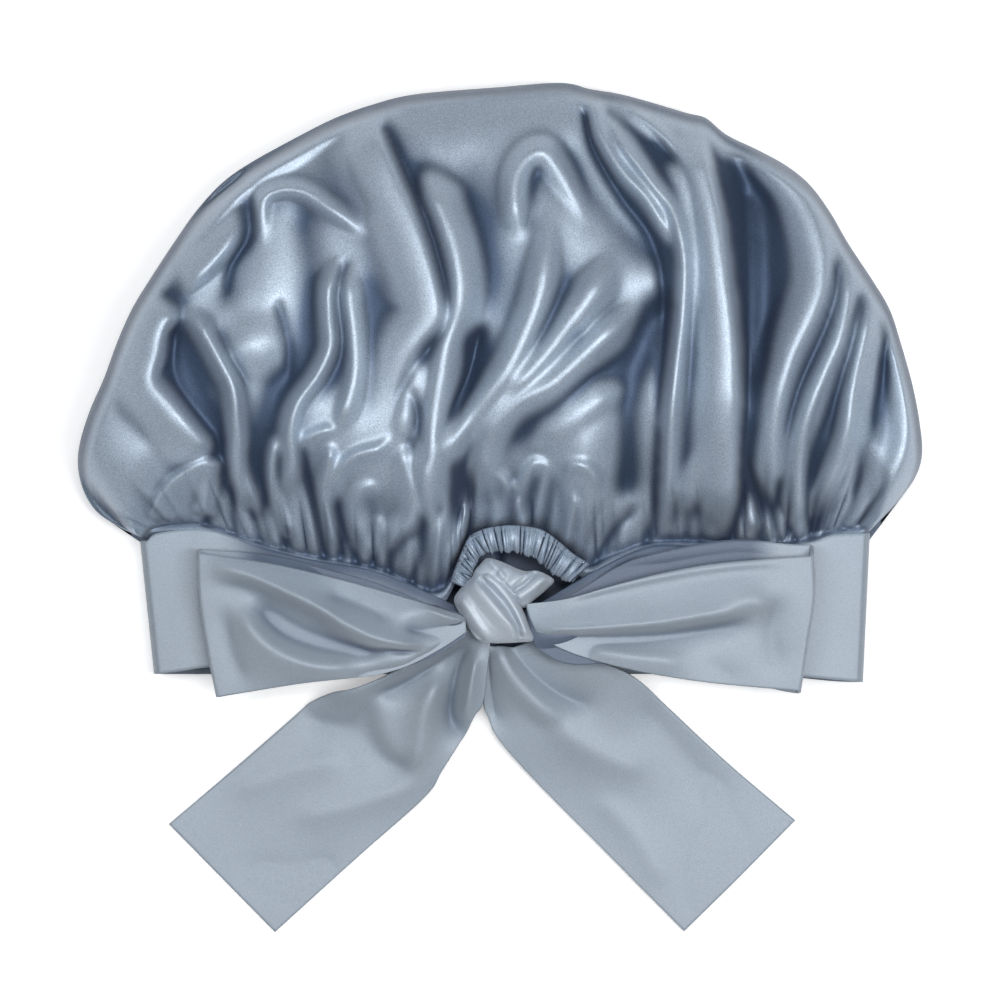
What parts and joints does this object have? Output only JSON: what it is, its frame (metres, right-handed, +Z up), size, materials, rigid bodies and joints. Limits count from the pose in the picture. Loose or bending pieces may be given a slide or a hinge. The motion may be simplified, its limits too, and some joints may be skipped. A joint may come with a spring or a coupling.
{
  "type": "hair bonnet",
  "caption": "Puffed satin hair bonnet with a gathered crown, a wide headband tied in a bow and a short elastic at the front, lying flat.",
  "frame": {"origin": "middle of the bonnet's outline, on the surface that it lies on", "axes": "+Z up from that surface, +Y from the bow to the far rim of the crown, +X to the right seen from above"},
  "size_m": [0.3242, 0.325, 0.0733],
  "materials": {
    "gloss_satin": "glossy satin",
    "matt_satin": "matt satin",
    "elastic": "woven elastic",
    "thread": "polyester thread"
  },
  "bodies": {
    "bonnet": {"crown": "gloss_satin", "headband_left": "matt_satin", "headband_right": "matt_satin", "elastic_casing": "gloss_satin", "elastic_strip": "elastic", "casing_thread": "thread", "knot_core": "matt_satin", "knot_wrap": "matt_satin", "left_loop_throat": "matt_satin", "right_loop_throat": "matt_satin", "left_tail_throat": "matt_satin", "right_tail_throat": "matt_satin"},
    "left_loop": {"left_loop": "matt_satin"},
    "right_loop": {"right_loop": "matt_satin"},
    "left_tail": {"left_tail": "matt_satin"},
    "right_tail": {"right_tail": "matt_satin"}
  },
  "joints": [
    {"name": "left_loop_lift", "type": "hinge", "parent": "bonnet", "child": "left_loop", "pos_m": [-0.02805, -0.04353, 0.03092], "axis": [0, 1, 0], "range_deg": [0, 70]},
    {"name": "right_loop_lift", "type": "hinge", "parent": "bonnet", "child": "right_loop", "pos_m": [0.02655, -0.04353, 0.03097], "axis": [0, -1, 0], "range_deg": [0, 70]},
    {"name": "left_tail_lift", "type": "hinge", "parent": "bonnet", "child": "left_tail", "pos_m": [-0.02028, -0.0623, 0.01932], "axis": [-0.6769, 0.7361, 0], "range_deg": [0, 75]},
    {"name": "right_tail_lift", "type": "hinge", "parent": "bonnet", "child": "right_tail", "pos_m": [0.01818, -0.06318, 0.01932], "axis": [-0.7302, -0.6833, 0], "range_deg": [0, 75]}
  ]
}
